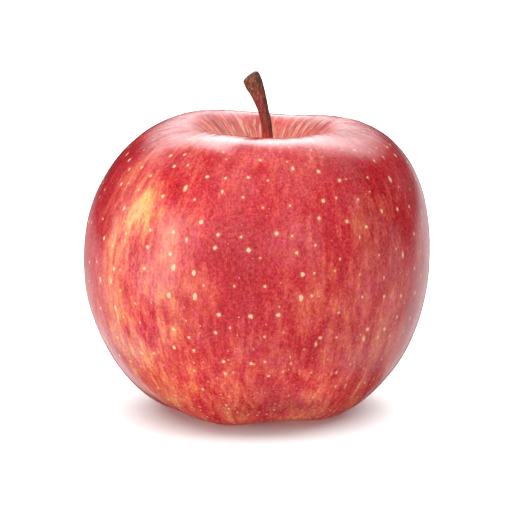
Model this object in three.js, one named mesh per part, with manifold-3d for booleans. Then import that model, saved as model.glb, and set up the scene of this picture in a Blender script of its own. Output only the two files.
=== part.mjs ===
// A ripe red dessert apple: the fruit with its stem cavity, lobed base and calyx basin, the woody
// stem that stands in the cavity, and the dried calyx in the basin underneath.
// Millimetres, +Z up. The apple stands on z = 0, and the origin is the middle of its footprint.
// The side that faces -Y is its front. Angles run anticlockwise from +X, seen from above.

import * as THREE from "three";
import { mergeVertices } from "three/addons/utils/BufferGeometryUtils.js";
import Module from "manifold-3d";

const wasm = await Module();
wasm.setup();

// --- Driving dimensions ---------------------------------------------------------------------

// The fruit's half profile: radii are from its axis, heights are from its base.
const CROWN_HEIGHT = 69.5; // top of the shoulders, round the stem cavity
const RIM_RADIUS = 19.2; // ring on which the shoulders are highest
const BODY_RADIUS = 41.8; // at the widest
const WIDEST_HEIGHT = 37.4;
const BASE_RADIUS = 18.9; // ring on which the base is lowest
const SEAT_HEIGHT = 56.5; // bottom of the stem cavity
const SEAT_RADIUS = 1.6;
const BASIN_HEIGHT = 8.5; // bottom of the calyx basin
const BASIN_FLOOR_RADIUS = 3;

// How far each arc of the profile runs on straight from its ends before it bends.
const CAVITY_FLOOR_PULL = 4;
const CAVITY_RIM_PULL = 6.1;
const SHOULDER_PULL = 13.1;
const FLANK_PULL_UP = 18.8;
const FLANK_PULL_DOWN = 20;
const BASE_PULL_OUT = 9.9;
const BASE_PULL_IN = 7;
const BASIN_FLOOR_PULL = 3.6;

// How the fruit departs from a turned shape. A wave is [waves in a turn, height, angle of a crest].
const deg = THREE.MathUtils.degToRad;
const CROWN_WAVES = [
  [1, 0.47, deg(124)],
  [2, 0.18, deg(-39)],
  [3, 0.39, deg(15)],
  [4, 0.3, deg(43)],
];
const FLUTE_WAVES = [
  [3, 0.25, deg(200)],
  [5, 0.4, deg(163)],
  [9, 0.16, deg(12)],
];
const BODY_WAVE = [3, 0.0079, deg(16)]; // as a share of the radius
const CROWN_REACH = 0.38; // share of the height over which the crown's waves grow
const BASE_REACH = 0.3; // share of the height over which the base's lobes fade
const LOBES = 5;
const LOBE_ANGLE = deg(247);
const LOBE_RISE = 1; // how far the base lifts between two lobes
const BASE_TILT = [1, 0.18, deg(-45)];
const AXIS_LEAN = 1.1; // the crown's centre is this far to +X of the base's
const AXIS_BOW = 1.6; // and the waist's this far to -X of both
const SEAT_SHIFT = 1.8; // the cavity's bottom, to +X of the base's centre
const FOOT_FLAT = 0.3; // what the fruit's weight flattens from the lobes

// The stem: its centre line as [x, y, z] from the cavity's bottom, and its radii along it.
const STEM_LINE = [
  [0, 0, -4.2],
  [0, 0, 3],
  [0, 0.1, 9.7],
  [-0.55, 0.3, 14.4],
  [-2.15, 0.8, 19.9],
  [-4.15, 1.4, 24.3],
];
const STEM_RADIUS = 1.22;
const STEM_SWELL = 0.2; // extra radius at the cavity's bottom
const STEM_SWELL_REACH = 3;
const STEM_FLARE = 0.82; // extra radius at the broken end
const STEM_FLARE_START = 0.62; // share of the length where the flare begins
const STEM_END_WAVES = [
  [3, 0.12, deg(30)],
  [5, 0.07, deg(80)],
];
const STEM_FLATNESS = 0.8; // depth of the flared end as a share of its width
const STEM_END_SLANT = 0.18; // rise of the broken face for each millimetre across it
const STEM_END_DOME = 0.5;
const SOCKET_GAP = 0.3;
const SOCKET_DEPTH = 4.5;

// The calyx: a shallow cup with five dried sepals. Its own heights run away from the fruit.
const CUP_RADIUS = 3.1;
const CUP_SUNK = 1;
const CUP_RIM = 0.8;
const CUP_HOLLOW = 0.7;
const SEPALS = 5;
const SEPAL_ANGLE = deg(35);
const SEPAL_LINE = [
  [2.4, -0.4],
  [1.5, 2],
  [2, 4.2],
  [4.7, 3.9],
]; // as [radius, height]: the sepals lean in over the cup and turn out at their tips
const SEPAL_WIDTH = 3.2;
const SEPAL_TIP_WIDTH = 0.5;
const SEPAL_THICKNESS = 0.7;
const SEPAL_CUPPING = 0.5; // how far a sepal's middle stands out from its edges at the root
const POCKET_GAP = 0.3;

// --- Helpers --------------------------------------------------------------------------------

const smooth = (t) => THREE.MathUtils.smoothstep(t, 0, 1);

function waves(list, angle) {
  return list.reduce((sum, [count, height, crest]) => sum + height * Math.cos(count * (angle - crest)), 0);
}

// Gives every vertex of a geometry the place that move(vertex) returns.
function reshape(geometry, move) {
  const position = geometry.getAttribute("position");
  const vertex = new THREE.Vector3();
  for (let i = 0; i < position.count; i++) {
    const moved = move(vertex.fromBufferAttribute(position, i));
    position.setXYZ(i, moved.x, moved.y, moved.z);
  }
  return geometry;
}

function toSolid(geometry) {
  const bare = geometry.clone();
  bare.deleteAttribute("normal");
  bare.deleteAttribute("uv");
  const merged = mergeVertices(bare);
  const corners = merged.index.array;
  const triangles = [];
  for (let i = 0; i < corners.length; i += 3) {
    const [a, b, c] = corners.slice(i, i + 3);
    if (a !== b && b !== c && c !== a) triangles.push(a, b, c);
  }
  const mesh = new wasm.Mesh({
    numProp: 3,
    vertProperties: merged.getAttribute("position").array,
    triVerts: new Uint32Array(triangles),
  });
  return new wasm.Manifold(mesh);
}

function toGeometry(solid) {
  const { vertProperties, triVerts } = solid.getMesh();
  const geometry = new THREE.BufferGeometry();
  geometry.setAttribute("position", new THREE.BufferAttribute(vertProperties, 3));
  geometry.setIndex(new THREE.BufferAttribute(triVerts, 1));
  geometry.computeVertexNormals();
  return geometry;
}

function named(name, geometry, color, roughness) {
  const mesh = new THREE.Mesh(geometry, new THREE.MeshStandardMaterial({ color, roughness, metalness: 0 }));
  mesh.name = name;
  return mesh;
}

// --- Fruit ----------------------------------------------------------------------------------

// From the calyx basin under the base, round the flank, over the shoulders and into the cavity.
function halfProfile() {
  const point = (radius, height) => new THREE.Vector2(radius, height);
  const arc = (steps, ...points) => new THREE.CubicBezierCurve(...points).getPoints(steps);
  const arcs = [
    arc(
      9,
      point(BASIN_FLOOR_RADIUS, BASIN_HEIGHT),
      point(BASIN_FLOOR_RADIUS + BASIN_FLOOR_PULL, BASIN_HEIGHT - 1),
      point(BASE_RADIUS - BASE_PULL_IN, 0),
      point(BASE_RADIUS, 0),
    ),
    arc(
      17,
      point(BASE_RADIUS, 0),
      point(BASE_RADIUS + BASE_PULL_OUT, 0),
      point(BODY_RADIUS, WIDEST_HEIGHT - FLANK_PULL_DOWN),
      point(BODY_RADIUS, WIDEST_HEIGHT),
    ),
    arc(
      15,
      point(BODY_RADIUS, WIDEST_HEIGHT),
      point(BODY_RADIUS, WIDEST_HEIGHT + FLANK_PULL_UP),
      point(RIM_RADIUS + SHOULDER_PULL, CROWN_HEIGHT),
      point(RIM_RADIUS, CROWN_HEIGHT),
    ),
    arc(
      11,
      point(RIM_RADIUS, CROWN_HEIGHT),
      point(RIM_RADIUS - CAVITY_RIM_PULL, CROWN_HEIGHT),
      point(SEAT_RADIUS + CAVITY_FLOOR_PULL, SEAT_HEIGHT + 0.6),
      point(SEAT_RADIUS, SEAT_HEIGHT),
    ),
  ];
  const outline = arcs.flatMap((points, i) => (i ? points.slice(1) : points));
  return [point(0, BASIN_HEIGHT), ...outline, point(0, SEAT_HEIGHT)];
}

// Where the skin lies, for a place on the turned shape.
function skinPoint(radius, height, angle) {
  const share = height / CROWN_HEIGHT;
  const crown = smooth((share - 1 + CROWN_REACH) / CROWN_REACH) * smooth(radius / RIM_RADIUS);
  const base = smooth(1 - share / BASE_REACH) * smooth(radius / BASE_RADIUS);
  const cavity = height > WIDEST_HEIGHT ? THREE.MathUtils.clamp(1 - radius / RIM_RADIUS, 0, 1) : 0;
  const lobes = (LOBE_RISE / 2) * (1 - Math.cos(LOBES * (angle - LOBE_ANGLE)));
  const flutes = 4 * cavity * (1 - cavity) * waves(FLUTE_WAVES, angle);
  const reach = radius * (1 + waves([BODY_WAVE], angle)) + flutes;
  const axis = AXIS_LEAN * share - 4 * AXIS_BOW * share * (1 - share);
  const lift = crown * waves(CROWN_WAVES, angle) + base * (lobes + waves([BASE_TILT], angle));
  return new THREE.Vector3(
    THREE.MathUtils.lerp(axis, SEAT_SHIFT, smooth(cavity)) + reach * Math.cos(angle),
    reach * Math.sin(angle),
    height + lift - FOOT_FLAT,
  );
}

function turnedFruit() {
  const sides = 72;
  const turned = new THREE.LatheGeometry(halfProfile(), sides).rotateX(Math.PI / 2);
  return reshape(turned, ({ x, y, z }) => skinPoint(Math.hypot(x, y), z, Math.atan2(y, x)));
}

// The upright cylinder from one height to another, for the socket and the pocket.
function post(x, radius, low, high) {
  const cylinder = new THREE.CylinderGeometry(radius, radius, high - low, 32).rotateX(Math.PI / 2);
  return toSolid(cylinder.translate(x, 0, (low + high) / 2));
}

function fruitGeometry() {
  const seat = skinPoint(0, SEAT_HEIGHT, 0);
  const basin = skinPoint(0, BASIN_HEIGHT, 0);
  const below = new THREE.BoxGeometry(4 * BODY_RADIUS, 4 * BODY_RADIUS, 20).translate(0, 0, -10);
  const socketRadius = STEM_RADIUS + STEM_SWELL + SOCKET_GAP;
  const solid = toSolid(turnedFruit())
    .subtract(toSolid(below))
    .subtract(post(seat.x, socketRadius, seat.z - SOCKET_DEPTH, seat.z + 5))
    .subtract(post(basin.x, CUP_RADIUS + POCKET_GAP, basin.z - 5, basin.z + CUP_SUNK + POCKET_GAP));
  return toGeometry(solid);
}

// --- Stem -----------------------------------------------------------------------------------

function stemGeometry() {
  const seat = skinPoint(0, SEAT_HEIGHT, 0);
  const line = new THREE.CatmullRomCurve3(STEM_LINE.map(([x, y, z]) => new THREE.Vector3(x, y, z)));
  const rod = new THREE.CylinderGeometry(1, 1, 1, 16, 32);
  return reshape(rod, ({ x, y, z }) => {
    const along = y + 0.5;
    const centre = line.getPointAt(along);
    const onward = line.getTangentAt(along);
    const across = new THREE.Vector3(1, 0, 0).addScaledVector(onward, -onward.x).normalize();
    const away = new THREE.Vector3().crossVectors(onward, across);
    const angle = Math.atan2(-z, x);
    const flare = smooth((along - STEM_FLARE_START) / (1 - STEM_FLARE_START));
    const swell = STEM_SWELL * Math.exp(-((centre.z / STEM_SWELL_REACH) ** 2));
    const radius = STEM_RADIUS + swell + flare * (STEM_FLARE + waves(STEM_END_WAVES, angle));
    const right = Math.hypot(x, z) * radius * Math.cos(angle);
    const back = Math.hypot(x, z) * radius * Math.sin(angle) * THREE.MathUtils.lerp(1, STEM_FLATNESS, flare);
    const capCentre = Math.hypot(x, z) < 0.5 && along > 0.5;
    const rise = flare ** 4 * STEM_END_SLANT * right + (capCentre ? STEM_END_DOME : 0);
    return centre
      .addScaledVector(across, right)
      .addScaledVector(away, back)
      .addScaledVector(onward, rise)
      .add(seat);
  });
}

// --- Calyx ----------------------------------------------------------------------------------

// One sepal over the +X side of the cup.
function sepalGeometry() {
  const ends = SEPAL_LINE.map(([radius, height]) => new THREE.Vector2(radius, height));
  const line = new THREE.CubicBezierCurve(...ends);
  const blade = new THREE.BoxGeometry(1, 1, 1, 1, 4, 8);
  return reshape(blade, ({ x, y, z }) => {
    const along = z + 0.5;
    const middle = line.getPoint(along);
    const onward = line.getTangent(along);
    const width = THREE.MathUtils.lerp(SEPAL_WIDTH, SEPAL_TIP_WIDTH, along ** 1.3);
    const outward = SEPAL_THICKNESS * x + SEPAL_CUPPING * (1 - along) * (1 - (2 * y) ** 2);
    return new THREE.Vector3(middle.x + outward * onward.y, width * y, middle.y - outward * onward.x);
  });
}

function calyxGeometry() {
  const basin = skinPoint(0, BASIN_HEIGHT, 0);
  const profile = [
    [0, -CUP_SUNK],
    [CUP_RADIUS, -CUP_SUNK],
    [CUP_RADIUS, 0],
    [CUP_RADIUS * 0.8, CUP_RIM],
    [CUP_RADIUS * 0.45, CUP_RIM - CUP_HOLLOW / 2],
    [0, CUP_RIM - CUP_HOLLOW],
  ].map(([radius, height]) => new THREE.Vector2(radius, height));
  let solid = toSolid(new THREE.LatheGeometry(profile, 30).rotateX(Math.PI / 2));
  for (let i = 0; i < SEPALS; i++) {
    const turn = SEPAL_ANGLE + (i * 2 * Math.PI) / SEPALS;
    solid = solid.add(toSolid(sepalGeometry().rotateZ(turn)));
  }
  return toGeometry(solid).rotateX(Math.PI).translate(basin.x, 0, basin.z);
}

// --- The apple ------------------------------------------------------------------------------

const apple = new THREE.Group();
apple.add(
  named("fruit", fruitGeometry(), 0xb8323c, 0.35),
  named("stem", stemGeometry(), 0x6e3b2a, 0.8),
  named("calyx", calyxGeometry(), 0x5d4630, 0.9),
);

const footprint = new THREE.Box3().setFromObject(apple).getCenter(new THREE.Vector3());
apple.position.set(-footprint.x, -footprint.y, 0);

export default apple;
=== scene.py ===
"""A ripe red apple: streaked and dotted skin, woody stem and dried calyx, on a pale floor in soft light.

Sizes inside the makers are in millimetres, and TO_METRES turns them into Blender's metres.
Angles run anticlockwise from +X, seen from above; -Y is the front.
"""

import math
import random

import bpy
import numpy as np
from bpy.props import FloatProperty, FloatVectorProperty, IntProperty, PointerProperty
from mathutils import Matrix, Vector, noise


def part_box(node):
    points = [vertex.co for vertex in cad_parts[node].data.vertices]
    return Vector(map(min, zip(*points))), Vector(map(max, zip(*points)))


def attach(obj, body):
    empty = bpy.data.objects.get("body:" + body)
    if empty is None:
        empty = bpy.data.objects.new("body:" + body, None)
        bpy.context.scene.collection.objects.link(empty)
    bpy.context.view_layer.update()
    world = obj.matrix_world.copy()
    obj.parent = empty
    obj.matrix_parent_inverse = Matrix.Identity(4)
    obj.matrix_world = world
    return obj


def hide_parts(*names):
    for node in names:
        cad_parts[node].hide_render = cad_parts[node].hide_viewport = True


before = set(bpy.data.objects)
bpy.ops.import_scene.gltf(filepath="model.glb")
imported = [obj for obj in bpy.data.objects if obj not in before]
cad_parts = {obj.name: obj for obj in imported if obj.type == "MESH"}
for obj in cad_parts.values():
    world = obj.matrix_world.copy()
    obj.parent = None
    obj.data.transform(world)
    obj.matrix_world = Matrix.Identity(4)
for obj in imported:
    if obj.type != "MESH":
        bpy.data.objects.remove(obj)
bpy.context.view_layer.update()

bl_info = {
    "name": "Red apple",
    "version": (1, 0, 0),
    "blender": (4, 5, 0),
    "location": "View3D > Sidebar > Apple",
    "description": "Makes a ripe red apple with its stem and calyx, and the stage it stands on",
    "category": "Object",
}

TO_METRES = 0.001
FULL_TURN = 2 * math.pi

# --- The fruit's form: the same curves and waves as its solid ---

CROWN_HEIGHT, RIM_RADIUS = 69.5, 19.2
BODY_RADIUS, WIDEST_HEIGHT = 41.8, 37.4
BASE_RADIUS = 18.9
SEAT_HEIGHT, SEAT_RADIUS = 56.5, 1.6
BASIN_HEIGHT, BASIN_FLOOR_RADIUS = 8.5, 3.0
# How far each curve of the profile runs on straight from its ends, and how far two of them bend up or down.
CAVITY_FLOOR_PULL, CAVITY_RIM_PULL, SHOULDER_PULL = 4.0, 6.1, 13.1
FLANK_PULL_UP, FLANK_PULL_DOWN = 18.8, 20.0
BASE_PULL_OUT, BASE_PULL_IN, BASIN_FLOOR_PULL = 9.9, 7.0, 3.6
BASIN_DROP, SEAT_RISE = 1.0, 0.6
# A wave is (waves in a turn, height, angle of a crest in degrees).
CROWN_WAVES = ((1, 0.47, 124), (2, 0.18, -39), (3, 0.39, 15), (4, 0.3, 43))
FLUTE_WAVES = ((3, 0.25, 200), (5, 0.4, 163), (9, 0.16, 12))
BODY_WAVES = ((3, 0.0079, 16),)
BASE_WAVES = ((1, 0.18, -45),)
CROWN_REACH, BASE_REACH = 0.38, 0.3
LOBES, LOBE_ANGLE, LOBE_RISE = 5, math.radians(247), 1.0
AXIS_LEAN, AXIS_BOW, SEAT_SHIFT, FOOT_FLAT = 1.1, 1.6, 1.8, 0.3

# Fine relief that the solid leaves out. A layer is (depth, size of its features, where its noise starts), and
# the waves say how deep the cavity's creases are round it.
SWELLS = ((0.22, 15, 3.1), (0.07, 5.5, 8.7))
CREASES = ((1.0, 5.5, 5.5), (0.7, 2.6, 1.5))
CREASE_WAVES = ((0, 0.85, 0), (2, 0.45, 10))

# Where the skin is redder or yellower: angle, millimetres up the skin from the widest ring, width, length and
# how much.
BLUSHES = (
    (223, 13, 17, 22, -0.2),
    (229, 16, 9, 16, -0.38),
    (222, 15, 8, 16, -0.3),
    (216, 7, 5, 18, -0.08),
    (212, 27, 6, 24, -0.18),
    (228, 37, 10, 12, -0.16),
    (240, 2, 14, 24, -0.12),
    (255, 1, 8, 18, -0.14),
    (220, -9, 24, 40, -0.19),
    (236, -25, 22, 22, -0.12),
    (248, 33, 12, 10, -0.04),
    (252, 4, 26, 20, 0.06),
    (257, 10, 10, 12, 0.14),
    (250, 22, 10, 18, 0.12),
    (228, -8, 9, 30, 0.14),
    (192, 14, 26, 60, 0.26),
    (267, 9, 24, 40, 0.24),
    (266, -8, 24, 26, 0.1),
    (290, 32, 30, 12, -0.06),
    (296, 10, 14, 36, 0.12),
    (312, -6, 24, 44, -0.04),
    (342, 8, 40, 70, 0.22),
    (320, 26, 26, 20, 0.1),
    (326, -27, 16, 16, -0.06),
    (120, 5, 50, 60, 0.12),
    (70, -6, 30, 40, -0.2),
    (262, 11, 12, 18, 0.14),
    (228, 28, 20, 10, 0.12),
    (236, 14, 6, 12, -0.1),
    (240, -13, 8, 14, -0.12),
    (233, -20, 6, 10, 0.1),
    (254, -13, 8, 14, 0.12),
    (295, -13, 12, 16, 0.15),
    (285, 22, 14, 14, 0.13),
    (322, -14, 22, 20, -0.1),
    (268, 12, 16, 14, 0.12),
    (238, 22, 14, 10, 0.14),
    (214, 46, 24, 10, -0.2),
    # The rows at 33 and 158 degrees deepen the crown's far rim: painted shade along its edge.
    (33, 46, 36, 12, 0.5),
    (4, 41, 24, 14, 0.2),
    (158, 38, 22, 12, 0.5),
    (172, 31, 16, 12, 0.16),
    (124, 52, 14, 10, 0.3),
    (72, 49, 12, 8, -0.25),
    (219, -17, 16, 16, -0.08),
    (306, 27, 24, 14, 0.15),
    (308, 24, 10, 10, 0.12),
    (224, -30, 20, 16, -0.1),
    (204, -26, 14, 20, 0.1),
)

# Where the bloom is thick, in the same way: partly the skin's waxy bloom and partly painted sheen, on the
# shoulders and low at the left.
BLOOM_AND_SHEEN_PATCHES = (
    (166, 45, 64, 22, 0.06),
    (312, 43, 26, 8, 0.08),
    (232, 2, 12, 18, 0.12),
    (221, -17, 14, 14, 0.12),
    (208, -24, 24, 28, 0.2),
    (232, -15, 16, 16, 0.06),
    (306, -18, 28, 26, 0.06),
    (10, 30, 40, 60, 0.1),
)

# Where the skin is lighter or deeper, in the same way: partly its own tone and partly painted light and
# painted shade, such as the painted shade along the bottom.
LIGHT_AND_SHADE_PATCHES = (
    (262, -1, 44, 32, -0.1),
    (292, -25, 30, 16, 0.15),
    (274, -34, 44, 9, -0.2),
    (316, 14, 22, 32, -0.14),
    (272, 34, 30, 10, 0.12),
    (203, 15, 14, 22, -0.1),
    (184, 36, 20, 12, 0.2),
    (304, -31, 18, 8, 0.12),
    (225, -15, 24, 20, 0.05),
)

# How many steps each curve of the profile has, from the basin's floor to the bottom of the stem's cavity.
ARC_STEPS = (26, 64, 58, 46)
SKIN_SIDES = 320


def smooth(t):
    t = np.clip(t, 0, 1)
    return t * t * (3 - 2 * t)


def turn_round(sides):
    """A row of angles evenly round one turn."""
    return np.linspace(0, FULL_TURN, sides, False)[None]


def waves(table, angle):
    return sum(height * np.cos(count * (angle - math.radians(crest))) for count, height, crest in table)


def bezier(steps, *points):
    """Points along a cubic curve, the first left out."""
    t = np.linspace(0, 1, steps + 1)[1:, None]
    a, b, c, d = (np.array(p, float) for p in points)
    return a * (1 - t) ** 3 + 3 * b * t * (1 - t) ** 2 + 3 * c * t * t * (1 - t) + d * t**3


def half_profile():
    """(radius, height) from the calyx basin round the flank and over the shoulders into the cavity."""
    floor, base, widest, rim, seat = np.array([
        (BASIN_FLOOR_RADIUS, BASIN_HEIGHT), (BASE_RADIUS, 0), (BODY_RADIUS, WIDEST_HEIGHT),
        (RIM_RADIUS, CROWN_HEIGHT), (SEAT_RADIUS, SEAT_HEIGHT)])
    return np.concatenate([
        np.linspace(0.15, 1, 4)[:, None] * (BASIN_FLOOR_RADIUS, 0) + (0, BASIN_HEIGHT),
        bezier(ARC_STEPS[0], floor, floor + (BASIN_FLOOR_PULL, -BASIN_DROP), base - (BASE_PULL_IN, 0), base),
        bezier(ARC_STEPS[1], base, base + (BASE_PULL_OUT, 0), widest - (0, FLANK_PULL_DOWN), widest),
        bezier(ARC_STEPS[2], widest, widest + (0, FLANK_PULL_UP), rim + (SHOULDER_PULL, 0), rim),
        bezier(ARC_STEPS[3], rim, rim - (CAVITY_RIM_PULL, 0), seat + (CAVITY_FLOOR_PULL, SEAT_RISE), seat),
    ])


def skin_points(radius, height, angle):
    """Where the skin lies, for places on the turned shape; arrays in, an array of points out."""
    share = height / CROWN_HEIGHT
    crown = smooth((share - 1 + CROWN_REACH) / CROWN_REACH) * smooth(radius / RIM_RADIUS)
    base = smooth(1 - share / BASE_REACH) * smooth(radius / BASE_RADIUS)
    cavity = np.where(height > WIDEST_HEIGHT, np.clip(1 - radius / RIM_RADIUS, 0, 1), 0)
    lobes = LOBE_RISE / 2 * (1 - np.cos(LOBES * (angle - LOBE_ANGLE)))
    flutes = 4 * cavity * (1 - cavity) * waves(FLUTE_WAVES, angle)
    reach = radius * (1 + waves(BODY_WAVES, angle)) + flutes
    axis = AXIS_LEAN * share - 4 * AXIS_BOW * share * (1 - share)
    axis = axis + (SEAT_SHIFT - axis) * smooth(cavity)
    lift = crown * waves(CROWN_WAVES, angle) + base * (lobes + waves(BASE_WAVES, angle))
    return np.stack([axis + reach * np.cos(angle), reach * np.sin(angle), height + lift - FOOT_FLAT], -1)


def footprint_shift():
    """What moves the formula's points onto the frame: the frame's origin is the middle of the fruit's box."""
    radius, height = half_profile().T[:, :, None]
    points = skin_points(radius, height, turn_round(SKIN_SIDES))
    low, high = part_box("fruit")
    flat = points.reshape(-1, 3)
    middle = (flat.min(0) + flat.max(0)) / 2
    return (np.add(low, high) / 2 / TO_METRES - middle) * (1, 1, 0)


# --- Meshes ---


def mesh_piece(name, points, faces, finish):
    """A smooth-shaded mesh object from points in millimetres."""
    mesh = bpy.data.meshes.new(name)
    mesh.from_pydata((np.asarray(points) * TO_METRES).tolist(), [], faces)
    mesh.validate()
    mesh.shade_smooth()
    mesh.materials.append(finish)
    piece = bpy.data.objects.new(name, mesh)
    bpy.context.scene.collection.objects.link(piece)
    return piece


def tube_faces(rings, sides, start=0):
    """Quads between rings of points, and nothing at the two ends."""
    faces = []
    for ring in range(rings - 1):
        here, above = start + ring * sides, start + (ring + 1) * sides
        for side in range(sides):
            on = (side + 1) % sides
            faces.append((here + side, here + on, above + on, above + side))
    return faces


def closed_grid(rings, first_pole, last_pole, start=0):
    """Points and faces of a skin closed by one point at each end; rings is (rings, sides, 3)."""
    count, sides = rings.shape[:2]
    points = np.concatenate([rings.reshape(-1, 3), [first_pole, last_pole]])
    faces = tube_faces(count, sides, start)
    low, high = start + count * sides, start + count * sides + 1
    last = start + (count - 1) * sides
    for side in range(sides):
        on = (side + 1) % sides
        faces.append((start + on, start + side, low))
        faces.append((last + side, last + on, high))
    return points, faces


def unit(vectors):
    return vectors / np.linalg.norm(vectors, axis=-1, keepdims=True)


def grid_normals(rings):
    """Outward unit normals of a closed skin given as (rings, sides, 3)."""
    round_it = np.roll(rings, -1, 1) - np.roll(rings, 1, 1)
    along_it = np.gradient(rings, axis=0)
    return unit(np.cross(round_it, along_it))


def noise_at(points, size, seed=0.0):
    """Smooth noise from -1 to 1 at each point, with features of the given size."""
    flat = np.asarray(points, float).reshape(-1, 3) / size + seed
    values = [noise.noise(Vector(p)) for p in flat.tolist()]
    return np.array(values).reshape(np.shape(points)[:-1])


# --- Node trees ---


class Finish:
    """A material and short calls for the nodes that the finishes share."""

    def __init__(self, name):
        self.material = bpy.data.materials.new(name)
        self.material.use_nodes = True
        self.tree = self.material.node_tree
        self.tree.nodes.clear()
        self.output = self.add("ShaderNodeOutputMaterial")
        self.surface = self.add("ShaderNodeBsdfPrincipled")
        self.tree.links.new(self.surface.outputs[0], self.output.inputs[0])

    def add(self, kind, inputs=None, **settings):
        node = self.tree.nodes.new(kind)
        for key, value in settings.items():
            setattr(node, key, value)
        for key, value in (inputs or {}).items():
            self.put(node.inputs[key], value)
        return node

    def put(self, socket, value):
        if isinstance(value, bpy.types.NodeSocket):
            self.tree.links.new(value, socket)
        elif socket.type == "RGBA":
            socket.default_value = (*value[:3], 1)
        else:
            socket.default_value = value

    def maths(self, operation, a, b=0.0, c=0.0):
        return self.add("ShaderNodeMath", {0: a, 1: b, 2: c}, operation=operation).outputs[0]

    def scaled(self, value, by, more=0.0):
        """value times by, plus more."""
        return self.maths("MULTIPLY_ADD", value, by, more)

    def stacked(self, start, *layers):
        """start, plus the value of each (value, by) times its by."""
        for value, by in layers:
            start = self.scaled(value, by, start)
        return start

    def vector_maths(self, operation, a, b=(0, 0, 0)):
        return self.add("ShaderNodeVectorMath", {0: a, 1: b}, operation=operation).outputs

    def parts(self, vector):
        """The three parts of a vector."""
        return self.add("ShaderNodeSeparateXYZ", {0: vector}).outputs

    def spread(self, value, low, high, to_low=0.0, to_high=1.0):
        """value going smoothly from to_low, at low, to to_high, at high."""
        inputs = {"Value": value, "From Min": low, "From Max": high, "To Min": to_low, "To Max": to_high}
        return self.add("ShaderNodeMapRange", inputs, interpolation_type="SMOOTHSTEP").outputs[0]

    def mix(self, amount, a, b, blend_type="MIX"):
        inputs = {0: amount, 6: a, 7: b}
        return self.add("ShaderNodeMix", inputs, data_type="RGBA", blend_type=blend_type).outputs[2]

    def tinted(self, colour, by):
        return self.mix(1.0, colour, by, "MULTIPLY")

    def stretched(self, vector, sizes):
        """vector with its three directions divided by sizes."""
        return self.vector_maths("MULTIPLY", vector, tuple(1 / size for size in sizes))[0]

    def noise(self, vector, sizes, detail=2.0, roughness=0.5, distortion=0.0):
        inputs = {"Vector": self.stretched(vector, sizes), "Scale": 1.0, "Detail": detail,
                  "Roughness": roughness, "Distortion": distortion}
        return self.add("ShaderNodeTexNoise", inputs).outputs[0]

    def ramp(self, value, stops):
        node = self.add("ShaderNodeValToRGB", {0: value})
        elements = node.color_ramp.elements
        while len(elements) < len(stops):
            elements.new(0.5)
        for element, (place, colour) in zip(elements, stops):
            element.position = place
            element.color = (*colour[:3], 1)
        return node.outputs[0]

    def bump(self, height, distance):
        return self.add("ShaderNodeBump", {"Height": height, "Distance": distance}).outputs[0]

    def place(self):
        """The point on the object, in millimetres."""
        coordinates = self.add("ShaderNodeTexCoord").outputs["Object"]
        return self.stretched(coordinates, (TO_METRES,) * 3)

    def attribute(self, name, kind="Fac"):
        return self.add("ShaderNodeAttribute", attribute_name=name).outputs[kind]

    def set(self, **values):
        for key, value in values.items():
            self.put(self.surface.inputs[key.replace("_", " ")], value)
        return self.material


# --- Fruit ---


def colour(name, description, default):
    return FloatVectorProperty(name=name, description=description, default=default, subtype="COLOR",
                               min=0, max=1)


def number(name, description, default, least, most, **more):
    return FloatProperty(name=name, description=description, default=default, min=least, max=most, **more)


def whole_number(name, description, default, most):
    return IntProperty(name=name, description=description, default=default, min=0, max=most)


class FruitSettings(bpy.types.PropertyGroup):
    ground: colour("Ground", "Skin where the sun put no red on it", (0.88, 0.50, 0.16))
    orange: colour("Orange", "Skin with thin red over the ground colour", (0.84, 0.245, 0.098))
    coral: colour("Coral", "Skin with half its red", (0.72, 0.085, 0.056))
    crimson: colour("Crimson", "Skin with all its red", (0.57, 0.008, 0.016))
    wine: colour("Wine", "The darkest streaks", (0.48, 0.003, 0.010))
    # The bloom colour is also painted sheen where its patches lie on the shoulders and low at the left.
    bloom_and_sheen: colour("Bloom", "The thin waxy haze on the skin", (0.76, 0.41, 0.46))
    dot: colour("Dots", "The breathing pores", (0.93, 0.61, 0.36))
    # Lighter, pinker skin in the stem's cavity: partly its own colour, partly painted light against the
    # cavity's shade.
    flush: colour("Flush", "Skin in the stem's cavity", (0.87, 0.185, 0.175))
    russet: colour("Russet", "Corky skin round the stem", (0.88, 0.50, 0.30))
    cream: colour("Cream", "Pale streaks in the stem's cavity", (0.97, 0.72, 0.52))
    dot_radius: number("Dot radius", "Radius of the largest pores, in millimetres", 0.5, 0.1, 2)
    crease_depth: number("Crease depth", "Depth of the creases in the stem's cavity, in millimetres",
                         0.3, 0, 1)
    pucker_depth: number("Pucker depth", "Depth of the folds round the calyx, in millimetres", 0.45, 0, 1)


def skin_rings(settings):
    """The skin's points with its swells, creases and folds, and for each the place on the unrolled skin."""
    profile = half_profile()
    angle = turn_round(SKIN_SIDES)
    rings = skin_points(profile[:, :1], profile[:, 1:], angle)
    steps = np.linalg.norm(np.diff(profile, axis=0, prepend=[[0, BASIN_HEIGHT]]), axis=1)
    along = np.cumsum(steps)
    unrolled = np.stack(np.broadcast_arrays(
        BODY_RADIUS * np.cos(angle), BODY_RADIUS * np.sin(angle), along[:, None]), -1)
    lengths = dict(zip(("basin", "base", "widest", "rim", "seat"), along[np.cumsum((3, *ARC_STEPS))]))
    swell = sum(depth * noise_at(rings, size, seed) for depth, size, seed in SWELLS)
    in_cavity = smooth((along - lengths["rim"] + 13) / 17)[:, None]
    in_basin = smooth((lengths["base"] - along + 1) / 10)[:, None]
    radial = unrolled * (1, 1, 0.16)
    creases = -sum(depth * np.abs(noise_at(radial, size, seed)) for depth, size, seed in CREASES)
    creases = creases * waves(CREASE_WAVES, angle)
    folds = noise_at(unrolled * (1, 1, 0.3), 9, 2.2) + 0.4 * noise_at(radial, 3.4, 7.5)
    depth = swell + settings.crease_depth * in_cavity * creases + settings.pucker_depth * in_basin * folds
    rings = rings + grid_normals(rings) * depth[..., None]
    return rings, unrolled, lengths


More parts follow.
